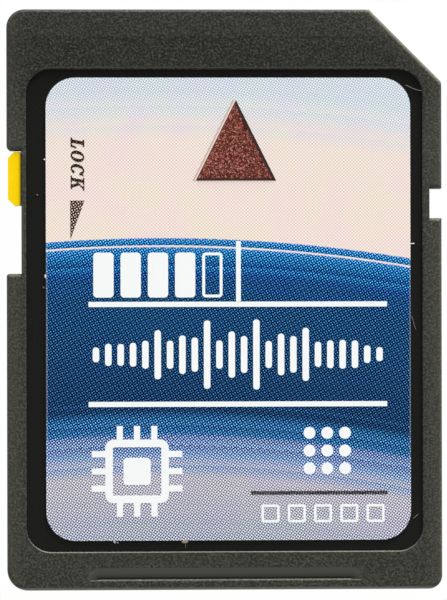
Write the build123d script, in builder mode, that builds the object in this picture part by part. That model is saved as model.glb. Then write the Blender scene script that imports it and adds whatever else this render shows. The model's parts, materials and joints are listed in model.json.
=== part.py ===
from build123d import *
import os
from math import sqrt

# A full-size memory card that lies on its back: X across the card, Y towards its contact end, Z up
# through the label. The origin is the middle of the back face. All sizes are in millimetres.

# Card outline
card_width = 24.0
card_length = 32.0
card_thickness = 2.1
corner_cut = 4.0
front_corner_radius = 1.0
rear_left_radius = 1.15
rear_right_radius = 0.75
cut_blend = 0.3
top_edge_radius = 0.2

# Guide rails, and the back that stands out between them
rail_width = 0.75
rail_step = 0.7
back_corner_radius = 0.6
back_chamfer = 0.2

# Walls of the two shells, which meet at the parting height
parting_height = 1.4
side_wall = 1.2
end_wall = 1.1
cut_wall = 0.8
roof_thickness = 0.25
pocket_radius = 0.5

# Seam that shows round the edge where the shells meet
seam_depth = 0.05
seam_width = 0.06

# Weld tongue on the front shell, and its groove in the rear shell
weld_inset = 0.3
weld_width = 0.25
weld_height = 0.15
weld_clearance = 0.05
weld_notch_gap = 0.5

# Recess for the label in the front face
recess_depth = 0.15
recess_side_margin = 1.08
recess_front_margin = 3.32
recess_rear_margin = 2.12
recess_radius = 1.35
recess_rim_radius = 0.08

# Label, which was stuck on a little to the right of the middle of its recess
label_thickness = 0.1
label_left_gap = 1.08
label_right_gap = 0.66
label_front_gap = 0.45
label_rear_gap = 0.62
label_radius = 1.6

# Finger grip: a ramp that runs down to a steep wall near the rear edge
grip_length = 15.2
grip_width = 0.65
grip_depth = 0.25
grip_edge = 0.595
grip_lip = 0.08

# Circuit board
board_thickness = 0.4
board_clearance = 0.1

# Contact pads in their slots, from the cut corner across the card
contact_thickness = 0.05
contact_length = 4.6
contact_width = 1.5
narrow_contact_width = 1.1
contact_radius = 0.2
contact_inset = 0.3
contact_cut_inset = 0.15
contact_right_margin = 2.625
contact_left_margin = 2.25
slot_clearance = 0.2
slot_lead_in = 0.3

# Write-protect switch: a notch in the left edge, and the slider that is trapped in it
notch_front = 7.77
notch_length = 6.79
notch_depth = 0.82
notch_front_radius = 0.24
notch_rear_radius = 0.16
slider_length = 2.95
slider_end_gap = 0.08
slider_setback = 0.08
slider_wall_gap = 0.03
slider_face_gap = 0.1
slider_chamfer = 0.34
slider_clearance = 0.05
neck_length = 1.6
neck_height = 0.4
flange_length = 3.0
flange_thickness = 0.5
flange_board_gap = 0.15

# Notch in the right edge, where a socket's latch holds the card
latch_front = 9.88
latch_length = 1.64
latch_depth = 0.68

# Parts on the board
chip_head_gap = 0.05
chip_bevel = 0.08
chip_gap = 1.0
dimple_radius = 0.4
dimple_depth = 0.04
dimple_inset = 1.2
flash_side_margin = 3.7
flash_rear_margin = 1.8
controller_size = 6.0
controller_offset = 2.5
passive_length = 1.0
passive_width = 0.5
passive_head_gap = 0.1
passive_pitch = 1.4
passive_edge = 1.0
passive_gap = 0.6
terminal_length = 0.25
terminal_step = 0.03
capacitor_count = 5
resistor_count = 4

# Pegs that place the board, and posts that hold it down
peg_radius = 0.5
peg_clearance = 0.1
peg_offset = 6.0
post_radius = 0.4
post_inset = 0.9
post_gap = 0.03

# Levels above the back face
board_bottom = rail_step + contact_thickness
board_top = board_bottom + board_thickness
recess_floor = card_thickness - recess_depth
ceiling = recess_floor - roof_thickness

# Edges of the card and of the pocket inside it
right_edge = card_width / 2
left_edge = -right_edge
front_edge = card_length / 2
rear_edge = -front_edge
pocket_width = card_width - 2 * side_wall
pocket_length = card_length - 2 * end_wall
pocket_cut = corner_cut - side_wall - end_wall + cut_wall * sqrt(2)

# A parallel line this far inside a right-angled corner cut shortens the cut by this share
cut_share = 2 - sqrt(2)
board_width = pocket_width - 2 * board_clearance
board_length = pocket_length - 2 * board_clearance
board_cut = pocket_cut - board_clearance * cut_share
board_front = board_length / 2
board_rear = -board_front

# Places along the contact row, counted in pitches from contact 9. The last two stand closer together.
contact_steps = {9: 0.0, 1: 1.0, 2: 2.0, 3: 3.0, 4: 4.0, 5: 5.0, 6: 6.0, 7: 6.97, 8: 7.65}
contact_row = card_width - contact_right_margin - contact_left_margin
contact_pitch = contact_row / contact_steps[8]
contact_front = board_front - contact_inset
contact_rear = contact_front - contact_length
slot_rear = contact_rear - slot_clearance

# The switch at its unlocked end
notch_top = front_edge - notch_front
notch_middle = notch_top - notch_length / 2
notch_bottom = notch_top - notch_length
notch_wall = left_edge + notch_depth
pocket_wall = left_edge + side_wall
slider_travel = notch_length - slider_length - 2 * slider_end_gap
slider_middle = notch_top - slider_end_gap - slider_length / 2
slider_outer = left_edge + slider_setback
slider_inner = notch_wall - slider_wall_gap
slider_low = rail_step + slider_face_gap
slider_high = card_thickness - slider_face_gap
travel_middle = slider_middle - slider_travel / 2
latch_middle = front_edge - latch_front - latch_length / 2
latch_wall = right_edge - latch_depth
neck_low = (board_bottom + ceiling - neck_height) / 2
flange_low = board_bottom + slider_clearance
flange_high = ceiling - slider_clearance
flange_outer = pocket_wall + slider_clearance
flange_inner = flange_outer + flange_thickness
cutout_edge = flange_inner + flange_board_gap

# Parts on the board, from its front edge to its rear edge
capacitor_row = board_front - passive_edge
controller_middle = capacitor_row - passive_width / 2 - passive_gap - controller_size / 2
resistor_column = controller_offset - controller_size / 2 - passive_gap - passive_length / 2
flash_front = controller_middle - controller_size / 2 - chip_gap
flash_rear = board_rear + flash_rear_margin
flash_length = flash_front - flash_rear
flash_middle = (flash_front + flash_rear) / 2
flash_width = board_width - 2 * flash_side_margin
chip_height = ceiling - chip_head_gap - board_top
passive_height = ceiling - passive_head_gap - board_top
peg_places = [(side * (board_width + flash_width) / 4, -peg_offset) for side in (-1, 1)]
post_side = board_width / 2 - post_inset
post_places = [
    (-post_side, board_rear + post_inset),
    (post_side, board_rear + post_inset),
    (-post_side, board_front - post_inset),
    (post_side, board_front - board_cut - post_inset),
]


def cut_plate(width, length, cut, radii):
    """Card-shaped outline: three rounded corners, and a cut one at the right of the contact end.

    The radii are those of the front left, the rear left and the rear right corner.
    """
    with BuildSketch() as plate:
        Rectangle(width, length)
        for (across, along), radius in zip(((-1, 1), (-1, -1), (1, -1)), radii):
            fillet(plate.vertices().sort_by_distance((across * width / 2, along * length / 2, 0))[0], radius)
        chamfer(plate.vertices().sort_by(Axis((0, 0, 0), (1, 1, 0)))[-1], cut)
        fillet(plate.vertices().group_by(Axis.X)[-1].sort_by(Axis.Y)[-1], cut_blend)
    return plate.sketch


def inset_plate(inset):
    """Outline parallel to the edge of the card and this far inside it."""
    return cut_plate(
        card_width - 2 * inset,
        card_length - 2 * inset,
        corner_cut - inset * cut_share,
        [radius - inset for radius in (front_corner_radius, rear_left_radius, rear_right_radius)],
    )


def weld_ring(clearance):
    """Band along the edge of the card for the weld, which stops short of both notches."""
    with BuildSketch() as ring:
        add(inset_plate(weld_inset - clearance))
        add(inset_plate(weld_inset + weld_width + clearance), mode=Mode.SUBTRACT)
        with Locations((left_edge, notch_middle)):
            Rectangle(2 * side_wall, notch_length + 2 * (weld_notch_gap - clearance), mode=Mode.SUBTRACT)
        with Locations((right_edge, latch_middle)):
            Rectangle(2 * side_wall, latch_length + 2 * (weld_notch_gap - clearance), mode=Mode.SUBTRACT)
    return ring.sketch


def contact_place(number):
    """Middle of a contact across the card, and its width."""
    width = narrow_contact_width if number == 8 else contact_width
    return right_edge - contact_right_margin - contact_steps[number] * contact_pitch, width


def slot_span(first, last):
    """Left and right side of the slot over the contacts from first to last."""
    first_place, first_width = contact_place(first)
    last_place, last_width = contact_place(last)
    left = last_place - last_width / 2 - slot_clearance
    return left, first_place + first_width / 2 + slot_clearance


def contact_slots():
    """Outlines of the slots over the contacts, open at the front edge."""
    with BuildSketch() as slots:
        for left, right in slot_spans:
            with Locations(((left + right) / 2, (slot_rear + front_edge) / 2)):
                Rectangle(right - left, front_edge - slot_rear)
    return slots.sketch


def board_outline():
    """Outline of the board, with holes for the pegs and room for the slider's flange."""
    with BuildSketch() as outline:
        add(cut_plate(board_width, board_length, board_cut, [pocket_radius] * 3))
        with Locations(*peg_places):
            Circle(peg_radius + peg_clearance, mode=Mode.SUBTRACT)
        with Locations((-board_width / 2, travel_middle)):
            Rectangle(
                2 * (cutout_edge + board_width / 2),
                flange_length + slider_travel + 2 * flange_board_gap,
                mode=Mode.SUBTRACT,
            )
    return outline.sketch


def notches():
    """Both notches in the edges of the card, as plain openings that reach past the edge."""
    with BuildSketch() as openings:
        with Locations((left_edge, notch_middle)):
            Rectangle(2 * notch_depth, notch_length)
        with Locations((right_edge, latch_middle)):
            Rectangle(2 * latch_depth, latch_length)
    return openings.sketch


def notched_plate():
    """Outline of the card with both notches, of which the one for the switch has a rounded mouth."""
    with BuildSketch() as outline:
        add(inset_plate(0))
        add(notches(), mode=Mode.SUBTRACT)
        fillet(outline.vertices().sort_by_distance((left_edge, notch_top))[0], notch_front_radius)
        fillet(outline.vertices().sort_by_distance((left_edge, notch_bottom))[0], notch_rear_radius)
    return outline.sketch


# Each contact has a slot of its own, apart from the last two, which share one
slot_spans = [slot_span(number, number) for number in (9, 1, 2, 3, 4, 5, 6)] + [slot_span(7, 8)]

# Front shell: the face with the label recess, closed behind the board by the rear shell
with BuildPart() as front_shell:
    with BuildSketch(Plane.XY.offset(parting_height)):
        add(notched_plate())
    extrude(amount=card_thickness - parting_height)

    # Rounded rim of the face, apart from the thin walls behind the notches
    rim = front_shell.faces().sort_by(Axis.Z)[-1].edges()
    notch_back = rim.sort_by_distance((notch_wall, notch_middle, card_thickness))[0]
    latch_back = rim.sort_by_distance((latch_wall, latch_middle, card_thickness))[0]
    fillet(rim - ShapeList([notch_back, latch_back]), top_edge_radius)

    # Seam round the edge
    with BuildSketch(Plane.XY.offset(parting_height)):
        add(inset_plate(0))
        add(inset_plate(seam_depth), mode=Mode.SUBTRACT)
    extrude(amount=seam_width, mode=Mode.SUBTRACT)

    # Label recess with its softened rim
    with BuildSketch(Plane.XY.offset(card_thickness)):
        with Locations((0, (recess_rear_margin - recess_front_margin) / 2)):
            RectangleRounded(
                card_width - 2 * recess_side_margin,
                card_length - recess_front_margin - recess_rear_margin,
                recess_radius,
            )
    extrude(amount=-recess_depth, mode=Mode.SUBTRACT)
    face = front_shell.faces().filter_by(Axis.Z).sort_by(Axis.Z)[-1]
    fillet(face.inner_wires()[0].edges(), recess_rim_radius)

    # Finger grip: a straight ramp, turned about the ends of its steep wall
    grip_wall = rear_edge + grip_edge
    grip_half = grip_length / 2 - grip_width
    with BuildSketch(Plane.YZ) as grip_section:
        with BuildLine():
            Polyline(
                (grip_wall, card_thickness),
                (grip_wall, card_thickness - grip_depth),
                (grip_wall + grip_width, card_thickness),
                close=True,
            )
        make_face()
    extrude(amount=grip_half, both=True, mode=Mode.SUBTRACT)
    for side in (-1, 1):
        with BuildSketch(Plane.YZ.offset(side * grip_half)):
            add(grip_section.sketch_local)
        revolve(
            axis=Axis((side * grip_half, grip_wall, 0), (0, 0, 1)),
            revolution_arc=-side * 90,
            mode=Mode.SUBTRACT,
        )

    # Bevelled lip of the steep wall
    with BuildSketch(Plane.YZ):
        with BuildLine():
            Polyline(
                (grip_wall, card_thickness - grip_lip),
                (grip_wall, card_thickness),
                (grip_wall - grip_lip, card_thickness),
                close=True,
            )
        make_face()
    extrude(amount=grip_half, both=True, mode=Mode.SUBTRACT)

    # Room for the parts on the board, with posts down to the board
    with BuildSketch(Plane.XY.offset(parting_height)):
        add(cut_plate(pocket_width, pocket_length, pocket_cut, [pocket_radius] * 3))
    extrude(amount=ceiling - parting_height, mode=Mode.SUBTRACT)
    with BuildSketch(Plane.XY.offset(ceiling)):
        with Locations(*post_places):
            Circle(post_radius)
    extrude(amount=board_top + post_gap - ceiling)

    # Weld tongue
    with BuildSketch(Plane.XY.offset(parting_height)):
        add(weld_ring(0))
    extrude(amount=-weld_height)

    # Slot for the neck of the slider
    with BuildSketch(Plane.XY.offset(neck_low - slider_clearance)) as neck_slot:
        with Locations((pocket_wall, travel_middle)):
            Rectangle(2 * side_wall, neck_length + slider_travel + 2 * slider_clearance)
    extrude(amount=neck_height + 2 * slider_clearance, mode=Mode.SUBTRACT)

# Rear shell: the back between the guide rails, the contact slots and the seat of the board
with BuildPart() as rear_shell:
    with BuildSketch():
        add(
            cut_plate(
                card_width - 2 * rail_width, card_length, corner_cut - rail_width, [back_corner_radius] * 3
            )
        )
    extrude(amount=rail_step)
    chamfer(rear_shell.faces().sort_by(Axis.Z)[0].edges(), back_chamfer)
    with BuildSketch(Plane.XY.offset(rail_step)):
        add(inset_plate(0))
    extrude(amount=parting_height - rail_step)

    # Pocket with the board on its floor
    with BuildSketch(Plane.XY.offset(board_bottom)):
        add(cut_plate(pocket_width, pocket_length, pocket_cut, [pocket_radius] * 3))
    extrude(amount=parting_height - board_bottom, mode=Mode.SUBTRACT)
    with BuildSketch(Plane.XY.offset(board_bottom)):
        with Locations(*peg_places):
            Circle(peg_radius)
    extrude(amount=board_thickness)

    # Contact slots: open below the front wall, with a lead-in, and right through the floor under the board
    with BuildSketch():
        add(contact_slots())
    extrude(amount=rail_step, mode=Mode.SUBTRACT)
    with BuildSketch(Plane.XY.offset(rail_step)):
        add(contact_slots())
        add(cut_plate(pocket_width, pocket_length, pocket_cut, [pocket_radius] * 3), mode=Mode.INTERSECT)
    extrude(amount=contact_thickness, mode=Mode.SUBTRACT)
    for left, right in slot_spans:
        with BuildSketch(Plane.YZ.offset(left)):
            with BuildLine():
                Polyline(
                    (front_edge, rail_step),
                    (front_edge - slot_lead_in, rail_step),
                    (front_edge, rail_step + slot_lead_in),
                    close=True,
                )
            make_face()
        extrude(amount=right - left, mode=Mode.SUBTRACT)

    # Weld groove
    with BuildSketch(Plane.XY.offset(parting_height)):
        add(weld_ring(weld_clearance))
    extrude(amount=-weld_height - weld_clearance, mode=Mode.SUBTRACT)

    # Both notches, and the slot for the neck of the slider
    with BuildSketch():
        add(inset_plate(0))
        add(notched_plate(), mode=Mode.SUBTRACT)
        add(notches())
    extrude(amount=parting_height, mode=Mode.SUBTRACT)
    with BuildSketch(Plane.XY.offset(neck_low - slider_clearance)):
        add(neck_slot.sketch_local)
    extrude(amount=neck_height + 2 * slider_clearance, mode=Mode.SUBTRACT)

# Circuit board on the floor of the rear shell
with BuildPart() as circuit_board:
    with BuildSketch(Plane.XY.offset(board_bottom)):
        add(board_outline())
    extrude(amount=board_thickness)

# Slider of the switch: the tab in the notch, the neck through the wall and the flange behind it
with BuildPart() as write_protect_slider:
    with BuildSketch(Plane.XY.offset(slider_low)) as tab:
        with Locations(((slider_outer + slider_inner) / 2, slider_middle)):
            Rectangle(slider_inner - slider_outer, slider_length)
        chamfer(tab.vertices().group_by(Axis.X)[0], slider_chamfer)
    extrude(amount=slider_high - slider_low)
    with BuildSketch(Plane.XY.offset(neck_low)):
        with Locations(((slider_inner + flange_outer) / 2, slider_middle)):
            Rectangle(flange_outer - slider_inner, neck_length)
    extrude(amount=neck_height)
    with BuildSketch(Plane.XY.offset(flange_low)):
        with Locations(((flange_outer + flange_inner) / 2, slider_middle)):
            Rectangle(flange_inner - flange_outer, flange_length)
    extrude(amount=flange_high - flange_low)

# Label on the floor of its recess
with BuildPart() as label:
    label_left = left_edge + recess_side_margin + label_left_gap
    label_right = right_edge - recess_side_margin - label_right_gap
    label_front = front_edge - recess_front_margin - label_front_gap
    label_rear = rear_edge + recess_rear_margin + label_rear_gap
    with BuildSketch(Plane.XY.offset(recess_floor)):
        with Locations(((label_left + label_right) / 2, (label_front + label_rear) / 2)):
            RectangleRounded(label_right - label_left, label_front - label_rear, label_radius)
    extrude(amount=label_thickness)


def make_contact(number):
    """Gold pad under the board. The one beside the cut corner starts further back."""
    place, width = contact_place(number)
    cut_line = board_width / 2 + board_front - board_cut - contact_cut_inset * sqrt(2)
    front = min(contact_front, cut_line - place - width / 2)
    with BuildPart() as contact:
        with BuildSketch(Plane.XY.offset(rail_step)):
            with Locations((place, (front + contact_rear) / 2)):
                RectangleRounded(width, front - contact_rear, contact_radius)
        extrude(amount=contact_thickness)
    return contact.part


def make_chip(width, length, place):
    """Flat moulded package with bevelled top edges and a dimple beside its first terminal."""
    with BuildPart() as chip:
        with BuildSketch(Plane.XY.offset(board_top)):
            with Locations(place):
                Rectangle(width, length)
        extrude(amount=chip_height)
        chamfer(chip.faces().sort_by(Axis.Z)[-1].edges(), chip_bevel)
        with BuildSketch(Plane.XY.offset(board_top + chip_height)):
            with Locations((place[0] - width / 2 + dimple_inset, place[1] + length / 2 - dimple_inset)):
                Circle(dimple_radius)
        extrude(amount=-dimple_depth, mode=Mode.SUBTRACT)
    return chip.part


def make_passive(place):
    """Chip part with metal terminals that stand out a little round both of its ends."""
    with BuildPart() as passive:
        with BuildSketch(Plane.XY.offset(board_top)):
            with Locations(place):
                Rectangle(passive_length, passive_width - 2 * terminal_step)
        extrude(amount=passive_height - terminal_step)
        with BuildSketch(Plane.XY.offset(board_top)):
            with Locations(place):
                with GridLocations(passive_length - terminal_length, 0, 2, 1):
                    Rectangle(terminal_length, passive_width)
        extrude(amount=passive_height)
    return passive.part


pieces = {
    "front_shell": front_shell.part,
    "rear_shell": rear_shell.part,
    "circuit_board": circuit_board.part,
    "write_protect_slider": write_protect_slider.part,
    "label": label.part,
    "flash_chip": make_chip(flash_width, flash_length, (0, flash_middle)),
    "controller_chip": make_chip(controller_size, controller_size, (controller_offset, controller_middle)),
}
for number in contact_steps:
    pieces[f"contact_{number}"] = make_contact(number)
for index in range(capacitor_count):
    across = (index - (capacitor_count - 1) / 2) * passive_pitch
    pieces[f"capacitor_{index + 1}"] = make_passive((across, capacitor_row))
for index in range(resistor_count):
    along = controller_middle + (index - (resistor_count - 1) / 2) * passive_pitch
    pieces[f"resistor_{index + 1}"] = make_passive((resistor_column, along))

os.makedirs("parts", exist_ok=True)
for name, piece in pieces.items():
    piece.label = name
    export_step(piece, f"parts/{name}.step")
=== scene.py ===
"""Looks of a full-size memory card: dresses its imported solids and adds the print, the foil and the dust.

Sizes are in millimetres in the frame of the solids: X across the card, Y towards the contact end and Z up
through the label. Blender's own objects are in metres, at the origin, with their place in their meshes.
"""

import json
import logging
import math
from collections.abc import Sequence
from dataclasses import dataclass, replace
from enum import Enum
from functools import cached_property, partial
from typing import Any

import bmesh
import bpy
from bmesh.types import BMesh, BMFace, BMVert
from bpy.types import Material, Node, NodeOutputs, NodeSocket, NodeTree
from mathutils import Euler, Matrix, Vector, noise


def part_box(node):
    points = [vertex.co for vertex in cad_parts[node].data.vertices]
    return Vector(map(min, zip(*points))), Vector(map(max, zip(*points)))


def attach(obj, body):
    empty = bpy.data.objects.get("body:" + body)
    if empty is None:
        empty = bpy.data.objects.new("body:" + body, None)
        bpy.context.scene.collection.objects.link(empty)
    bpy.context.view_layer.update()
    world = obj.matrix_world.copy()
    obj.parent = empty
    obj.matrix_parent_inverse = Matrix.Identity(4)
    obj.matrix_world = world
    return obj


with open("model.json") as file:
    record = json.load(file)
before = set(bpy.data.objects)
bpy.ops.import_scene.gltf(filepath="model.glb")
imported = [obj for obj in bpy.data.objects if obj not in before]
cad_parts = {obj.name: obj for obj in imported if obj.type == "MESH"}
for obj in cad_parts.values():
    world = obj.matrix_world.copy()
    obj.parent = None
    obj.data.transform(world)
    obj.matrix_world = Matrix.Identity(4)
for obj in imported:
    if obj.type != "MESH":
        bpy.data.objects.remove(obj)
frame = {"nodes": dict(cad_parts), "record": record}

LOG = logging.getLogger("memory_card")
MM = 0.001
PER_MM = 1 / MM
CORNER_STEPS = 5

# Inputs of the Mix node, for numbers and for colours
MIX_LOW, MIX_HIGH = 2, 3
MIX_A, MIX_B = 6, 7

Point = tuple[float, float]
Place = tuple[float, float, float]
Colour = tuple[float, float, float, float]
Fleck = tuple[Place, Point]
Inputs = dict[str | int, Any]
Source = Node | NodeSocket


class Body(Enum):
    """Rigid bodies that added pieces ride on."""

    CARD = "card"


class Slot(Enum):
    """Material slots of the record."""

    SHELL = "shell_plastic"
    SWITCH = "switch_plastic"
    LABEL = "label_paper"
    BOARD = "board_laminate"
    CHIP = "chip_moulding"
    CONTACT = "contact_gold"
    CAPACITOR = "capacitor_ceramic"
    RESISTOR = "resistor_ceramic"


class Kind(Enum):
    """Kinds of shader node, with the operation of those that calculate."""

    ABSOLUTE = "Math", "ABSOLUTE"
    ADD = "Math", "ADD"
    FRACTION = "Math", "FRACT"
    GREATER = "Math", "GREATER_THAN"
    MAXIMUM = "Math", "MAXIMUM"
    MULTIPLY = "Math", "MULTIPLY"
    MULTIPLY_ADD = "Math", "MULTIPLY_ADD"
    POWER = "Math", "POWER"
    SUBTRACT = "Math", "SUBTRACT"
    WRAP = "Math", "WRAP"
    COSINE = "VectorMath", "COSINE"
    DISTANCE = "VectorMath", "DISTANCE"
    DOT = "VectorMath", "DOT_PRODUCT"
    SCALE = "VectorMath", "SCALE"
    VECTOR_ABSOLUTE = "VectorMath", "ABSOLUTE"
    VECTOR_ADD = "VectorMath", "ADD"
    VECTOR_MAXIMUM = "VectorMath", "MAXIMUM"
    VECTOR_MINIMUM = "VectorMath", "MINIMUM"
    VECTOR_MULTIPLY = "VectorMath", "MULTIPLY"
    VECTOR_SUBTRACT = "VectorMath", "SUBTRACT"
    BUMP = "Bump"
    COMBINE = "CombineXYZ"
    COORDINATES = "TexCoord"
    DIFFUSE = "BsdfDiffuse"
    EMISSION = "Emission"
    GAMMA = "Gamma"
    GEOMETRY = "NewGeometry"
    LIGHT_PATH = "LightPath"
    MAPPING = "Mapping"
    MAP_RANGE = "MapRange"
    MIX = "Mix"
    MIX_SHADER = "MixShader"
    NOISE = "TexNoise"
    RAMP = "ValToRGB"
    SEPARATE = "SeparateXYZ"
    VORONOI = "TexVoronoi"

    def __init__(self, node: str, operation: str = "") -> None:
        """Keeps the type of the node and its operation."""
        self.node = f"ShaderNode{node}"
        self.operation = operation


def linear(code: str) -> Colour:
    """Turns an sRGB hex colour to linear red, green, blue and alpha.

    Args:
        code: A hash and six hex digits.

    Returns:
        The linear channels, with an alpha of 1.
    """
    coded = [int(code[start : start + 2], 16) / 255 for start in (1, 3, 5)]
    red, green, blue = (c / 12.92 if c <= 0.04045 else ((c + 0.055) / 1.055) ** 2.4 for c in coded)
    return red, green, blue, 1.0


def fill_inputs(tree: NodeTree, node: Node, inputs: Inputs) -> None:
    """Sets or links inputs of a node.

    Args:
        tree: Node tree of the node.
        node: Node whose inputs are filled.
        inputs: What goes into each input, by its name or number: a node, an output socket or a value.
    """
    for key, value in inputs.items():
        if isinstance(value, Node):
            value = next(output for output in value.outputs if output.enabled)
        if isinstance(value, NodeSocket):
            tree.links.new(value, node.inputs[key])
        else:
            node.inputs[key].default_value = value


def add_node(tree: NodeTree, kind: Kind, inputs: Inputs | Sequence[Any] = (), **settings: Any) -> Node:
    """Adds a node with its settings and links.

    Args:
        tree: Node tree that gets the node.
        kind: Kind of node.
        inputs: What goes into its inputs, in their order, or by their names or numbers.
        **settings: Attributes of the node.

    Returns:
        The new node.
    """
    made = tree.nodes.new(kind.node)
    if kind.operation:
        made.operation = kind.operation
    for name, value in settings.items():
        setattr(made, name, value)
    fill_inputs(tree, made, inputs if isinstance(inputs, dict) else dict(enumerate(inputs)))
    return made


def set_stops(ramp: Node, stops: Sequence[tuple[float, str]]) -> None:
    """Sets the colours along a ramp.

    Args:
        ramp: Node of the ramp.
        stops: Place from 0 to 1 and colour of each stop.
    """
    elements = ramp.color_ramp.elements
    while len(elements) < len(stops):
        elements.new(0.5)
    for element, (share, code) in zip(elements, stops):
        element.position = share
        element.color = linear(code)


class Recipe:
    """A Principled material in the making, with its Object coordinates in millimetres."""

    def __init__(self, name: str) -> None:
        """Starts the material.

        Args:
            name: Name of the material.
        """
        self.material = bpy.data.materials.new(name)
        self.material.use_nodes = True
        self.add = partial(add_node, self.material.node_tree)
        source = self.add(Kind.COORDINATES).outputs["Object"]
        self.place = self.add(Kind.MAPPING, {"Vector": source, "Scale": (PER_MM,) * 3})

    def finish(self, colour: Source | Colour, roughness: Source | float, others: Inputs) -> Material:
        """Ends the material.

        Args:
            colour: Base colour.
            roughness: Roughness.
            others: What goes into other inputs of the shader, by their names.

        Returns:
            The material.
        """
        tree = self.material.node_tree
        inputs = {"Base Color": colour, "Roughness": roughness, **others}
        fill_inputs(tree, tree.nodes["Principled BSDF"], inputs)
        return self.material


@dataclass(frozen=True)
class Span:
    """Stretch of a value from start to end, over which the outcome goes from low to high."""

    start: float
    end: float
    low: float = 0.0
    high: float = 1.0

    def over(self, value: Source) -> list[Any]:
        """Gives the inputs that map a value over the stretch."""
        return [value, self.start, self.end, self.low, self.high]


@dataclass(frozen=True)
class Tones:
    """Two colours that a finish mixes."""

    first: str
    second: str

    def over(self, share: Source) -> Inputs:
        """Gives the inputs that mix the colours by the share of the second."""
        return {0: share, MIX_A: linear(self.first), MIX_B: linear(self.second)}


@dataclass(frozen=True)
class Grain:
    """Uneven pattern: the size of its spots in millimetres, its detail and the weight of the detail."""

    size: float
    detail: float
    weight: float = 0.5

    def over(self, place: Node) -> Inputs:
        """Gives the inputs that lay the pattern out."""
        return {"Vector": place, "Scale": 1 / self.size, "Detail": self.detail, "Roughness": self.weight}


@dataclass(frozen=True)
class Relief:
    """Fine relief: its strength and its height in millimetres."""

    strength: float
    height: float

    def over(self, pattern: Source) -> Inputs:
        """Gives the inputs that raise a pattern."""
        return {"Strength": self.strength, "Distance": self.height * MM, "Height": pattern}


@dataclass(frozen=True)
class Box:
    """Box with soft edges: its lowest and highest corners and the width of its edges."""

    low: Place
    high: Place
    soft: float

    def mask(self, recipe: Recipe, place: Node | None = None) -> Node:
        """Makes a mask that is 1 inside the box.

        Args:
            recipe: Material that gets the nodes.
            place: Node with the coordinates, if they aren't the material's own.

        Returns:
            The node with the mask.
        """
        add = recipe.add
        middle = [(a + b) / 2 for a, b in zip(self.low, self.high)]
        half = [(b - a) / 2 for a, b in zip(self.low, self.high)]
        offset = add(Kind.VECTOR_SUBTRACT, [place or recipe.place, middle])
        folded = add(Kind.VECTOR_ABSOLUTE, [offset])
        parts = add(Kind.SEPARATE, [add(Kind.VECTOR_SUBTRACT, [folded, half])]).outputs
        across = add(Kind.MAXIMUM, [parts["X"], parts["Y"]])
        furthest = add(Kind.MAXIMUM, [across, parts["Z"]])
        return add(Kind.MAP_RANGE, Span(self.soft / 2, -self.soft / 2).over(furthest))


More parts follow.
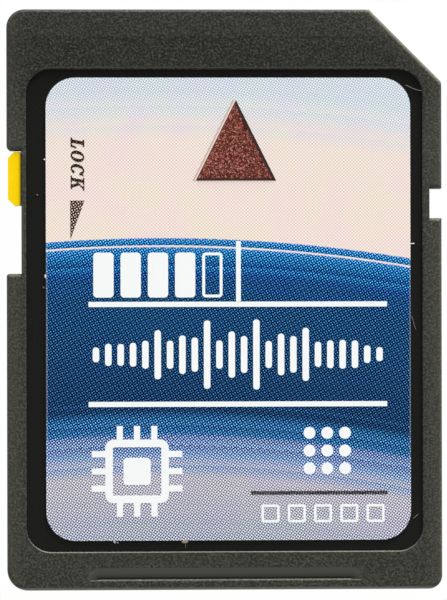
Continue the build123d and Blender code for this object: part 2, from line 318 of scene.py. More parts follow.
@dataclass(frozen=True)
class GrainedShell:
    """Dark grey ABS, moulded in a spark-eroded tool: an even fine grain without gloss.

    The floor of the label recess and the ramp of the finger grip were polished in the tool, so they are
    smooth; the ramp is painted darker towards its deep end, as painted shade. The thin wall behind the
    free end of the switch's notch is paler and warmer than the rest, and the front rim of the recess gets
    the same tone as a painted highlight. The long edges and the cut corner are painted paler, as a painted
    highlight on their rounded rims. The contact end is painted darker, as painted shade, less so in the
    strip along its edge. The rims of the rear edge, of the cut corner and of the rear end of the recess,
    and the ends of the grip's lip, carry painted highlights.
    """

    colour: str = "#010101"
    pale_colour: str = "#4E4E49"
    recess_colour: str = "#161615"
    edge_highlight_colour: str = "#59564A"
    wall_and_rim_highlight_colour: str = "#3D3A2E"
    rim_highlight_colour: str = "#77746A"
    ramp_tones_and_shade: Tones = Tones("#363633", "#484844")
    sheen_tint: str = "#FFFFEC"
    ior: float = 1.52
    roughness: Span = Span(0.0, 1.0, 0.55, 0.25)
    specular: Span = Span(0.0, 1.0, 0.5, 0.3)
    grain: Grain = Grain(0.125, 4.0, 0.75)
    grain_span: Span = Span(0.44, 0.72)
    grain_height: float = 0.03
    contact_end_shade_span: Span = Span(9.0, 13.0)
    contact_end_shade_shift: float = 0.02
    strip_span: Span = Span(14.5, 14.6, 1.0, 0.6)
    edge_highlight_span: Span = Span(10.95, 12.0, 0.0, 0.21)
    corner_shift: float = 4.97
    recess: Box = Box((-11.0, -14.0, 1.9), (11.0, 12.75, 2.01), 0.02)
    grip: Box = Box((-7.6, -15.415, 1.8), (7.6, -14.755, 2.095), 0.02)
    ramp_shade_span: Span = Span(-15.2, -15.04)
    wall: Box = Box((-11.3, 1.48, 2.0), (-11.03, 5.2, 2.2), 0.06)
    rim: Box = Box((-9.9, 12.76, 2.0), (9.9, 12.82, 2.2), 0.06)
    wall_and_rim_highlight_share: float = 0.75
    rim_highlight_share: float = 0.8
    rim_highlight_level: Span = Span(1.85, 1.95)
    rim_highlight_rear: Span = Span(-15.81, -15.89)
    rim_highlight_corner: Span = Span(16.73, 17.1)
    rim_highlight_slope: Span = Span(0.35, 1.0)
    rim_highlight_end: Box = Box((-11.2, -14.3, 1.8), (11.2, -11.5, 2.2), 0.02)
    lip: Box = Box((6.93, -15.49, 1.7), (7.48, -15.43, 2.2), 0.04)

    def material(self) -> Material:
        """Builds the material."""
        recipe = Recipe("spark_eroded_abs")
        add = recipe.add
        parts = add(Kind.SEPARATE, [recipe.place]).outputs
        slant = add(Kind.DOT, [recipe.place, (math.sqrt(0.5), math.sqrt(0.5), 0.0)])
        # Painted shade: rises towards the contact end, where it darkens the grain and lowers the sheen,
        # less so in the strip along the end's edge
        spans = (self.contact_end_shade_span, self.strip_span)
        contact_end_shade = add(Kind.MULTIPLY, [add(Kind.MAP_RANGE, span.over(parts["Y"])) for span in spans])
        recess = self.recess.mask(recipe)
        grip = self.grip.mask(recipe)
        grain = add(Kind.NOISE, self.grain.over(recipe.place))
        dip = add(Kind.MULTIPLY, [contact_end_shade, self.contact_end_shade_shift])
        tone = add(Kind.MAP_RANGE, self.grain_span.over(add(Kind.SUBTRACT, [grain, dip])))
        # Painted highlight: paler towards the long edges and the cut corner, standing in for light on their
        # rounded rims
        side = add(Kind.ABSOLUTE, [parts["X"]])
        cut = add(Kind.SUBTRACT, [slant, self.corner_shift])
        edge_highlight = add(Kind.MAP_RANGE, self.edge_highlight_span.over(add(Kind.MAXIMUM, [side, cut])))
        # The thin wall is paler and warmer; the front rim of the recess gets the same tone as a painted
        # highlight
        thin = add(Kind.MAXIMUM, [self.wall.mask(recipe), self.rim.mask(recipe)])
        # The grip's smooth ramp tone, painted darker towards its deep end as painted shade
        ramp_out_of_shade = add(Kind.MAP_RANGE, self.ramp_shade_span.over(parts["Y"]))
        colour = linear(self.colour)
        for share, coat in (
            (tone, linear(self.pale_colour)),
            (edge_highlight, linear(self.edge_highlight_colour)),
            (add(Kind.MULTIPLY, [thin, self.wall_and_rim_highlight_share]), linear(self.wall_and_rim_highlight_colour)),
            # Painted highlights on the rims and the ends of the grip's lip
            (self.painted_rim_highlights(recipe, parts, slant), linear(self.rim_highlight_colour)),
            (grip, add(Kind.MIX, self.ramp_tones_and_shade.over(ramp_out_of_shade), data_type="RGBA")),
            (recess, linear(self.recess_colour)),
        ):
            colour = add(Kind.MIX, {0: share, MIX_A: colour, MIX_B: coat}, data_type="RGBA")
        smooth = add(Kind.MAXIMUM, [recess, grip])
        rough = add(Kind.SUBTRACT, [1.0, smooth])
        bump = add(Kind.BUMP, {"Strength": rough, "Distance": self.grain_height * MM, "Height": grain})
        roughness = add(Kind.MAP_RANGE, self.roughness.over(smooth))
        gloss = add(Kind.MAP_RANGE, self.specular.over(contact_end_shade))
        sheen = {"IOR": self.ior, "Specular IOR Level": gloss, "Specular Tint": linear(self.sheen_tint)}
        return recipe.finish(colour, roughness, {"Normal": bump, **sheen})

    def painted_rim_highlights(self, recipe: Recipe, parts: NodeOutputs, slant: Node) -> Node:
        """Makes a mask of the painted highlights on the rims and on the ends of the grip's lip.

        Args:
            recipe: Material that gets the nodes.
            parts: Outputs with the coordinates in millimetres.
            slant: Node with the place across the cut corner, in millimetres.

        Returns:
            The node with the mask.
        """
        add = recipe.add
        facing = add(Kind.SEPARATE, [add(Kind.GEOMETRY).outputs["Normal"]]).outputs
        top, rear, corner, slope = (
            add(Kind.MAP_RANGE, span.over(value))
            for value, span in (
                (parts["Z"], self.rim_highlight_level),
                (parts["Y"], self.rim_highlight_rear),
                (slant, self.rim_highlight_corner),
                (facing["Y"], self.rim_highlight_slope),
            )
        )
        edge = add(Kind.MULTIPLY, [add(Kind.MAXIMUM, [rear, corner]), top])
        inner = add(Kind.MULTIPLY, [slope, self.rim_highlight_end.mask(recipe)])
        rims = add(Kind.MAXIMUM, [edge, inner])
        side = add(Kind.ABSOLUTE, [parts["X"]])
        folded = add(Kind.COMBINE, [side, parts["Y"], parts["Z"]])
        highlighted_rims = add(Kind.MAXIMUM, [rims, self.lip.mask(recipe, folded)])
        return add(Kind.MULTIPLY, [highlighted_rims, self.rim_highlight_share])


@dataclass(frozen=True)
class SwitchAcetal:
    """Yellow acetal, moulded in a polished tool: a waxy sheen and faint flow marks.

    Its inner edge is painted brown, as painted shade from the gap along the wall.
    """

    tones: Tones = Tones("#F8D700", "#F2CA00")
    inner_shade_colour: str = "#5C3206"
    inner_shade_span: Span = Span(-11.3, -11.17)
    flow: Grain = Grain(0.6, 3.0)
    relief: Relief = Relief(0.2, 0.004)
    roughness: float = 0.45
    specular: float = 0.12

    def material(self) -> Material:
        """Builds the material."""
        recipe = Recipe("moulded_acetal")
        add = recipe.add
        flow = add(Kind.NOISE, self.flow.over(recipe.place))
        plain = add(Kind.MIX, self.tones.over(flow), data_type="RGBA")
        across = add(Kind.SEPARATE, [recipe.place])
        # Painted shade: brown along the inner edge, beside the wall
        inner = add(Kind.MAP_RANGE, self.inner_shade_span.over(across), interpolation_type="SMOOTHSTEP")
        shaded = {0: inner, MIX_A: plain, MIX_B: linear(self.inner_shade_colour)}
        colour = add(Kind.MIX, shaded, data_type="RGBA")
        bump = add(Kind.BUMP, self.relief.over(flow))
        return recipe.finish(colour, self.roughness, {"Normal": bump, "Specular IOR Level": self.specular})


@dataclass(frozen=True)
class Screen:
    """Dot screen of one ink: its angle in degrees, its dots' pitch in millimetres and its strength."""

    angle: float
    pitch: float
    strength: float = 1.0

    def build(self, recipe: Recipe) -> Node:
        """Adds the screen.

        Args:
            recipe: Material that gets the nodes.

        Returns:
            The node with the height of the dots, from -0.5 to 0.5 at full strength.
        """
        turn = (0.0, 0.0, math.radians(self.angle))
        scale = (math.tau / self.pitch,) * 3
        turned = recipe.add(Kind.MAPPING, {"Vector": recipe.place, "Rotation": turn, "Scale": scale})
        waves = recipe.add(Kind.COSINE, [turned])
        return recipe.add(Kind.DOT, [waves, (self.strength / 4, self.strength / 4, 0.0)])


@dataclass(frozen=True)
class DotScreens:
    """Crossed dot screens of offset print: the tone is lighter and darker from dot to dot.

    Middle tones show the dots most, and bare paper and full ink show none. One screen runs through all the
    tones, a second one joins it in light cool tones and a third one in dark tones.
    """

    contrast: float = 8.0
    lightest: float = 0.94
    fade: float = 1.5
    limit: float = 6.0
    gamma: float = 2.2
    main_screen: Screen = Screen(45.0, 0.1293, 1.05)
    cool_screen: Screen = Screen(15.0, 0.131, 0.68)
    dark_screen: Screen = Screen(75.0, 0.131, 0.9)
    cool_span: Span = Span(-0.04, 0.03)
    dark_span: Span = Span(0.55, 0.35)

    def apply(self, recipe: Recipe, tone: Node | Colour) -> Node:
        """Breaks a tone up in dots.

        Args:
            recipe: Material that gets the nodes.
            tone: Colour, or the node with it.

        Returns:
            The node with the printed colour.
        """
        add = recipe.add
        coded = add(Kind.GAMMA, [tone, 1 / self.gamma])
        level = add(Kind.DOT, [coded, (1 / 3,) * 3])
        room = add(Kind.MAXIMUM, [add(Kind.SUBTRACT, [self.lightest, level]), 0.0])
        swing = add(Kind.MULTIPLY, [level, add(Kind.POWER, [room, self.fade])])
        wide = add(Kind.MULTIPLY, [swing, self.contrast])
        most = add(Kind.SCALE, {0: coded, "Scale": self.limit})
        reach = add(Kind.VECTOR_MINIMUM, [wide, most])
        parts = add(Kind.SEPARATE, [coded]).outputs
        coolness = add(Kind.SUBTRACT, [parts["Z"], parts["X"]])
        cool = add(Kind.MAP_RANGE, self.cool_span.over(coolness))
        dark = add(Kind.MAP_RANGE, self.dark_span.over(level))
        light_dots = add(Kind.MULTIPLY, [self.cool_screen.build(recipe), cool])
        dark_dots = self.dark_screen.build(recipe)
        other_dots = add(Kind.MIX, {0: dark, MIX_LOW: light_dots, MIX_HIGH: dark_dots})
        height = add(Kind.ADD, [self.main_screen.build(recipe), other_dots])
        change = add(Kind.SCALE, {0: reach, "Scale": height})
        dotted = add(Kind.VECTOR_ADD, [coded, change])
        inked = add(Kind.VECTOR_MAXIMUM, [dotted, (0.0,) * 3])
        bounded = add(Kind.VECTOR_MINIMUM, [inked, (1.0,) * 3])
        return add(Kind.GAMMA, [bounded, self.gamma])


@dataclass(frozen=True)
class ProcessPrint:
    """Coated paper with offset print: fields of colour in nested arcs, broken up in fine dots.

    The print stops just short of the cut edge of the paper, which shows as a thin light line.
    """

    arc_centre: Place = (-3.5, -80.0, 0.0)
    arc_radius: float = 79.7
    band_step: float = 1.1
    band_shift: Span = Span(0.0, 1.0, -0.45, 0.45)
    extent: Span = Span(-14.0, 13.0)
    fields: tuple[tuple[float, str], ...] = (
        (-13.0, "#949CB2"),
        (-9.6, "#AEABBA"),
        (-8.2, "#5B83BD"),
        (-7.0, "#153688"),
        (-5.6, "#071842"),
        (-2.0, "#081D4E"),
        (0.6, "#081F53"),
        (1.9, "#08216B"),
        (3.1, "#0F409E"),
        (3.55, "#2069CA"),
        (3.6, "#E9DAD2"),
        (9.0, "#E7D9D3"),
        (10.8, "#D5D7DC"),
        (12.0, "#C9D3DD"),
    )
    dots: DotScreens = DotScreens()
    drift: Grain = Grain(2.2, 1.0)
    drift_span: Span = Span(0.35, 0.65)
    drift_tints: Tones = Tones("#FFFAFD", "#FDFFF7")
    edge: Box = Box((-9.76, -13.2, 1.9), (10.2, 12.17, 2.1), 0.03)
    edge_cover: Span = Span(0.0, 1.0, 0.88, 1.0)
    face_tilt: float = 0.5
    paper: str = "#F7F7F5"
    roughness: float = 0.45
    specular: float = 0.03

    def material(self) -> Material:
        """Builds the material."""
        recipe = Recipe("offset_printed_paper")
        add = recipe.add
        printed = self.dots.apply(recipe, self.artwork(recipe))
        cover = add(Kind.MAP_RANGE, self.edge_cover.over(self.edge.mask(recipe)))
        facing = add(Kind.SEPARATE, [add(Kind.GEOMETRY).outputs["Normal"]]).outputs
        face = add(Kind.GREATER, [facing["Z"], self.face_tilt])
        inked = add(Kind.MULTIPLY, [face, cover])
        colour = add(Kind.MIX, {0: inked, MIX_A: linear(self.paper), MIX_B: printed}, data_type="RGBA")
        return recipe.finish(colour, self.roughness, {"Specular IOR Level": self.specular})

    def artwork(self, recipe: Recipe) -> Node:
        """Adds the fields of colour as the press laid them down, pinker in some places than in others.

        Args:
            recipe: Material that gets the nodes.

        Returns:
            The node with the colour of the ink.
        """
        add = recipe.add
        flat = add(Kind.VECTOR_MULTIPLY, [recipe.place, (1.0, 1.0, 0.0)])
        reach = add(Kind.DISTANCE, [flat, self.arc_centre])
        height = add(Kind.SUBTRACT, [reach, self.arc_radius])
        within = add(Kind.FRACTION, [add(Kind.MULTIPLY, [height, 1 / self.band_step])])
        shift = add(Kind.MAP_RANGE, self.band_shift.over(within))
        stepped = add(Kind.ADD, [height, shift])
        ramp = add(Kind.RAMP, [add(Kind.MAP_RANGE, self.extent.over(stepped))])
        low, high = self.extent.start, self.extent.end
        set_stops(ramp, [((level - low) / (high - low), code) for level, code in self.fields])
        cloud = add(Kind.NOISE, self.drift.over(recipe.place))
        share = add(Kind.MAP_RANGE, self.drift_span.over(cloud))
        tint = add(Kind.MIX, self.drift_tints.over(share), data_type="RGBA")
        return add(Kind.VECTOR_MULTIPLY, [ramp, tint])


@dataclass(frozen=True)
class PlainInk:
    """Opaque screen ink: an even matt coat with a faint mesh texture."""

    name: str
    colour: str
    mesh: Grain = Grain(0.08, 1.0)
    relief: Relief = Relief(0.2, 0.003)
    roughness: float = 0.5

    def material(self) -> Material:
        """Builds the material."""
        recipe = Recipe(self.name)
        coat = recipe.add(Kind.NOISE, self.mesh.over(recipe.place))
        bump = recipe.add(Kind.BUMP, self.relief.over(coat))
        return recipe.finish(linear(self.colour), self.roughness, {"Normal": bump})


@dataclass(frozen=True)
class ScreenedInk:
    """Dark brown tone of the process inks: an open dot pattern that lets the paper through."""

    name: str
    colour: str
    dots: DotScreens = DotScreens()
    roughness: float = 0.5
    specular: float = 0.1

    def material(self) -> Material:
        """Builds the material."""
        recipe = Recipe(self.name)
        colour = self.dots.apply(recipe, linear(self.colour))
        return recipe.finish(colour, self.roughness, {"Specular IOR Level": self.specular})


@dataclass(frozen=True)
class Lint:
    """Textile lint and paper fluff: dull and uneven in tone."""

    name: str
    tones: Tones
    fluff: Grain = Grain(0.06, 2.0)
    roughness: float = 0.9

    def material(self) -> Material:
        """Builds the material."""
        recipe = Recipe(self.name)
        fluff = recipe.add(Kind.NOISE, self.fluff.over(recipe.place))
        colour = recipe.add(Kind.MIX, self.tones.over(fluff), data_type="RGBA")
        return recipe.finish(colour, self.roughness, {})


@dataclass(frozen=True)
class FoilEdge:
    """A pressed edge of the foil: its outward direction and distance, its width and the colour of its painted
    shade.
    """

    outward: Place
    distance: float
    width: float
    colour: str


@dataclass(frozen=True)
class GlitterFoil:
    """Dark red glitter foil: flakes that lie at all angles. Their flashes are painted into the colour as
    painted glints: single flakes near white, others dark.

    Its pressed edges are painted darker, as painted shade where they turn away from the light.
    """

    edges: tuple[FoilEdge, ...]
    tones: tuple[str, ...] = ("#460F08", "#5A3E32", "#985A50", "#E8C8BE")
    hues: tuple[str, ...] = ("#FF9C96", "#FFDCB8", "#FFB4C4", "#F0DEC8")
    edge_fade: float = 0.08
    flake: float = 0.058
    relief: Relief = Relief(0.6, 0.03)
    roughness: float = 0.35
    metallic: float = 0.5

    def material(self) -> Material:
        """Builds the material."""
        recipe = Recipe("glitter_foil")
        add = recipe.add
        flakes = add(Kind.VORONOI, {"Vector": recipe.place, "Scale": 1 / self.flake})
        parts = add(Kind.SEPARATE, [flakes.outputs["Color"]]).outputs
        # Painted glints: each flake gets a tone from dark to near white at random
        ramps = []
        for output, codes in (("X", self.tones), ("Z", self.hues)):
            ramps.append(add(Kind.RAMP, [parts[output]]))
            set_stops(ramps[-1], [(index / (len(codes) - 1), code) for index, code in enumerate(codes)])
        colour = add(Kind.VECTOR_MULTIPLY, ramps)
        # Painted shade along each pressed edge
        for edge in self.edges:
            reach = add(Kind.DOT, [recipe.place, edge.outward])
            start = edge.distance - edge.width
            shade = add(Kind.MAP_RANGE, Span(start, start + self.edge_fade).over(reach))
            colour = add(Kind.MIX, {0: shade, MIX_A: colour, MIX_B: linear(edge.colour)}, data_type="RGBA")
        bump = add(Kind.BUMP, self.relief.over(parts["Y"]))
        return recipe.finish(colour, self.roughness, {"Metallic": self.metallic, "Normal": bump})


@dataclass(frozen=True)
class GoldPlate:
    """Hard gold on nickel: a warm mirror, dulled by the wipe marks that run into the socket."""

    tones: Tones = Tones("#DDB25C", "#C89A4A")
    roughness: Span = Span(0.0, 1.0, 0.15, 0.42)
    wipe_size: Place = (0.03, 1.6, 0.03)
    wipes: Grain = Grain(1.0, 3.0)
    relief: Relief = Relief(0.3, 0.002)

    def material(self) -> Material:
        """Builds the material."""
        recipe = Recipe("gold_plating")
        add = recipe.add
        scale = [1 / size for size in self.wipe_size]
        stretched = add(Kind.MAPPING, {"Vector": recipe.place, "Scale": scale})
        wipes = add(Kind.NOISE, self.wipes.over(stretched))
        colour = add(Kind.MIX, self.tones.over(wipes), data_type="RGBA")
        roughness = add(Kind.MAP_RANGE, self.roughness.over(wipes))
        bump = add(Kind.BUMP, self.relief.over(wipes))
        return recipe.finish(colour, roughness, {"Metallic": 1.0, "Normal": bump})


@dataclass(frozen=True)
class SolderMask:
    """Green solder mask on glass laminate: glossy, with the weave and the copper tracks showing through."""

    tones: Tones = Tones("#0E3D26", "#1C5A38")
    track_pitch: float = 0.9
    track_jitter: float = 0.6
    track_span: Span = Span(0.3, 0.34)
    weave: Screen = Screen(0.0, 0.35)
    relief: Relief = Relief(0.3, 0.005)
    roughness: float = 0.3
    ior: float = 1.52

    def material(self) -> Material:
        """Builds the material."""
        recipe = Recipe("solder_mask")
        add = recipe.add
        pattern = {"Vector": recipe.place, "Scale": 1 / self.track_pitch, "Randomness": self.track_jitter}
        cells = add(Kind.VORONOI, pattern, distance="CHEBYCHEV")
        tracks = add(Kind.MAP_RANGE, self.track_span.over(cells.outputs["Distance"]))
        colour = add(Kind.MIX, self.tones.over(tracks), data_type="RGBA")
        bump = add(Kind.BUMP, self.relief.over(self.weave.build(recipe)))
        return recipe.finish(colour, self.roughness, {"Normal": bump, "IOR": self.ior})


@dataclass(frozen=True)
class ChipEpoxy:
    """Black filled epoxy, moulded: matt, with a fine pitted skin."""

    tones: Tones = Tones("#19191B", "#242427")
    grain: Grain = Grain(0.06, 2.0)
    relief: Relief = Relief(0.4, 0.006)
    roughness: float = 0.55
    ior: float = 1.55

    def material(self) -> Material:
        """Builds the material."""
        recipe = Recipe("moulded_epoxy")
        skin = recipe.add(Kind.NOISE, self.grain.over(recipe.place))
        colour = recipe.add(Kind.MIX, self.tones.over(skin), data_type="RGBA")
        bump = recipe.add(Kind.BUMP, self.relief.over(skin))
        return recipe.finish(colour, self.roughness, {"Normal": bump, "IOR": self.ior})


@dataclass(frozen=True)
class TinnedCeramic:
    """Fired ceramic block with tinned ends: a dull body between two soft silvery caps."""

    name: str
    colour: str
    middle: float
    pitch: float
    body_half: float = 0.25
    tin_colour: str = "#C9CACB"
    roughness: Span = Span(0.0, 1.0, 0.6, 0.35)

    def material(self) -> Material:
        """Builds the material."""
        recipe = Recipe(self.name)
        add = recipe.add
        across = add(Kind.SEPARATE, [recipe.place])
        offset = add(Kind.SUBTRACT, [across, self.middle])
        local = add(Kind.WRAP, [offset, self.pitch / 2, -self.pitch / 2])
        tin = add(Kind.GREATER, [add(Kind.ABSOLUTE, [local]), self.body_half])
        colour = add(Kind.MIX, Tones(self.colour, self.tin_colour).over(tin), data_type="RGBA")
        roughness = add(Kind.MAP_RANGE, self.roughness.over(tin))
        return recipe.finish(colour, roughness, {"Metallic": tin})


def place_piece(shape: BMesh, name: str, material: Material, body: Body) -> None:
    """Makes a piece of a shape in millimetres and lets it ride on a body.

    Args:
        shape: Shape of the piece, which is freed.
        name: Name of the piece.
        material: Its finish.
        body: Body that it moves with.
    """
    bmesh.ops.recalc_face_normals(shape, faces=shape.faces)
    bmesh.ops.scale(shape, vec=(MM, MM, MM), verts=shape.verts)
    mesh = bpy.data.meshes.new(name)
    shape.to_mesh(mesh)
    shape.free()
    mesh.materials.append(material)
    piece = bpy.data.objects.new(name, mesh)
    bpy.context.scene.collection.objects.link(piece)
    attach(piece, body.value)
    LOG.info("%s: %d faces, rides on %s", name, len(mesh.polygons), body.value)


def nodes_of(slot: Slot) -> list[str]:
    """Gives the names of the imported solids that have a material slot."""
    return [part["node"] for part in frame["record"]["subparts"] if part["material_slot"] == slot.value]


def dress(slot: Slot, material: Material) -> None:
    """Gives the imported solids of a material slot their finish.

    Args:
        slot: Material slot of the solids.
        material: Their finish.
    """
    for name in nodes_of(slot):
        for holder in frame["nodes"][name].material_slots:
            holder.link = "OBJECT"
            holder.material = material
        LOG.info("%s: dressed in %s", name, material.name)


def raise_faces(shape: BMesh, faces: Sequence[BMFace], height: float) -> None:
    """Makes closed plates of flat faces.

    Args:
        shape: Shape that holds the faces.
        faces: Faces that become the undersides.
        height: Thickness of the plates.
    """
    made = bmesh.ops.extrude_face_region(shape, geom=list(faces), use_keep_orig=True)
    tops = [part for part in made["geom"] if isinstance(part, BMVert)]
    bmesh.ops.translate(shape, vec=(0.0, 0.0, height), verts=tops)


@dataclass(frozen=True)
class Panel:
    """Flat rectangle: its middle and size, its corners' radius, and its stroke if it is an outline."""

    centre: Point
    size: Point
    radius: float = 0.0
    stroke: float = 0.0

    def build(self, shape: BMesh, level: float) -> list[BMFace]:
        """Adds the rectangle.

        Args:
            shape: Shape that gets the rectangle.
            level: Its height above the back of the card.

        Returns:
            The faces of the rectangle or of its outline.
        """
        verts = bmesh.ops.create_grid(shape, x_segments=1, y_segments=1, size=0.5)["verts"]
        bmesh.ops.scale(shape, vec=(*self.size, 1.0), verts=verts)
        bmesh.ops.translate(shape, vec=(*self.centre, level), verts=verts)
        if self.radius:
            verts = bmesh.ops.bevel(
                shape,
                geom=verts,
                offset=self.radius,
                segments=CORNER_STEPS,
                profile=0.5,
                affect="VERTICES",
                material=-1,
            )["verts"]
        face = verts[0].link_faces[0]
        if not self.stroke:
            return [face]
        outline = bmesh.ops.inset_region(
            shape, faces=[face], thickness=self.stroke, use_boundary=True, use_even_offset=True
        )["faces"]
        bmesh.ops.delete(shape, geom=[face], context="FACES_ONLY")
        return outline


@dataclass(frozen=True)
class Row:
    """Row of equal panels: the first one, their number and the step from one to the next."""

    first: Panel
    count: int = 1
    step: Point = (0.0, 0.0)

    def panels(self) -> list[Panel]:
        """Gives the panels of the row."""
        (across, along), (wide, high) = self.first.centre, self.step
        places = [(across + index * wide, along + index * high) for index in range(self.count)]
        return [replace(self.first, centre=place) for place in places]


@dataclass
class Housing:
    """The two welded shells."""

    finish: GrainedShell = GrainedShell()

    def build(self) -> None:
        """Dresses both shells."""
        dress(Slot.SHELL, self.finish.material())


@dataclass
class WriteProtectSwitch:
    """The slider in the left edge."""

    finish: SwitchAcetal = SwitchAcetal()

    def build(self) -> None:
        """Dresses the slider."""
        dress(Slot.SWITCH, self.finish.material())


@dataclass
class Board:
    """The board with its contacts and parts, inside the shells."""

    mask: SolderMask = SolderMask()
    epoxy: ChipEpoxy = ChipEpoxy()
    gold: GoldPlate = GoldPlate()
    capacitor_colour: str = "#8B6B45"
    resistor_colour: str = "#1E1E20"
    lone_pitch: float = 10.0

    def build(self) -> None:
        """Dresses the board and everything on it."""
        dress(Slot.BOARD, self.mask.material())
        dress(Slot.CONTACT, self.gold.material())
        dress(Slot.CHIP, self.epoxy.material())
        self.dress_row(Slot.CAPACITOR, "tinned_capacitor", self.capacitor_colour)
        self.dress_row(Slot.RESISTOR, "tinned_resistor", self.resistor_colour)

    def dress_row(self, slot: Slot, name: str, colour: str) -> None:
        """Dresses a row of chip parts, each with its two tinned ends.

        Args:
            slot: Material slot of the parts.
            name: Name of the finish.
            colour: Colour of the ceramic.
        """
        boxes = [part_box(node) for node in nodes_of(slot)]
        middles = sorted((low.x + high.x) / 2 * PER_MM for low, high in boxes)
        steps = [after - before for before, after in zip(middles, middles[1:])]
        pitch = max(steps) if max(steps) > MM else self.lone_pitch
        dress(slot, TinnedCeramic(name, colour, middles[0], pitch).material())


@dataclass(frozen=True)
class Letter:
    """Serif letter in a box of unit width and height, and its place along the word."""

    start: float
    width: float
    strokes: tuple[tuple[Point, ...], ...] = ()
    bowl: bool = False
    opening: float = 0.0
    thin: Point = (0.42, 0.8)
    sides: int = 36

    def build(self, shape: BMesh) -> list[BMVert]:
        """Adds the flat letter.

        Args:
            shape: Shape that gets the letter.

        Returns:
            The points of the letter.
        """
        points = []
        for stroke in self.strokes:
            corners = [shape.verts.new((*corner, 0.0)) for corner in stroke]
            shape.faces.new(corners)
            points += corners
        return points + (self.build_bowl(shape) if self.bowl else [])

    def build_bowl(self, shape: BMesh) -> list[BMVert]:
        """Adds the round of the letter, thick at its sides and open at the right by its angle in degrees.

        Args:
            shape: Shape that gets the round.

        Returns:
            The points of the round.
        """
        outer, inner = (
            bmesh.ops.create_circle(shape, radius=0.5, segments=self.sides)["verts"] for _ in range(2)
        )
        bmesh.ops.scale(shape, vec=(*self.thin, 1.0), verts=inner)
        rims = {edge for vert in outer + inner for edge in vert.link_edges}
        ring = bmesh.ops.bridge_loops(shape, edges=list(rims))["faces"]
        right = Vector((1.0, 0.0))
        half = math.radians(self.opening / 2)
        gap = [face for face in ring if right.angle(face.calc_center_median().xy) < half]
        bmesh.ops.delete(shape, geom=gap, context="FACES")
        points = [vert for vert in outer + inner if vert.is_valid]
        bmesh.ops.translate(shape, vec=(0.5, 0.5, 0.0), verts=points)
        return points


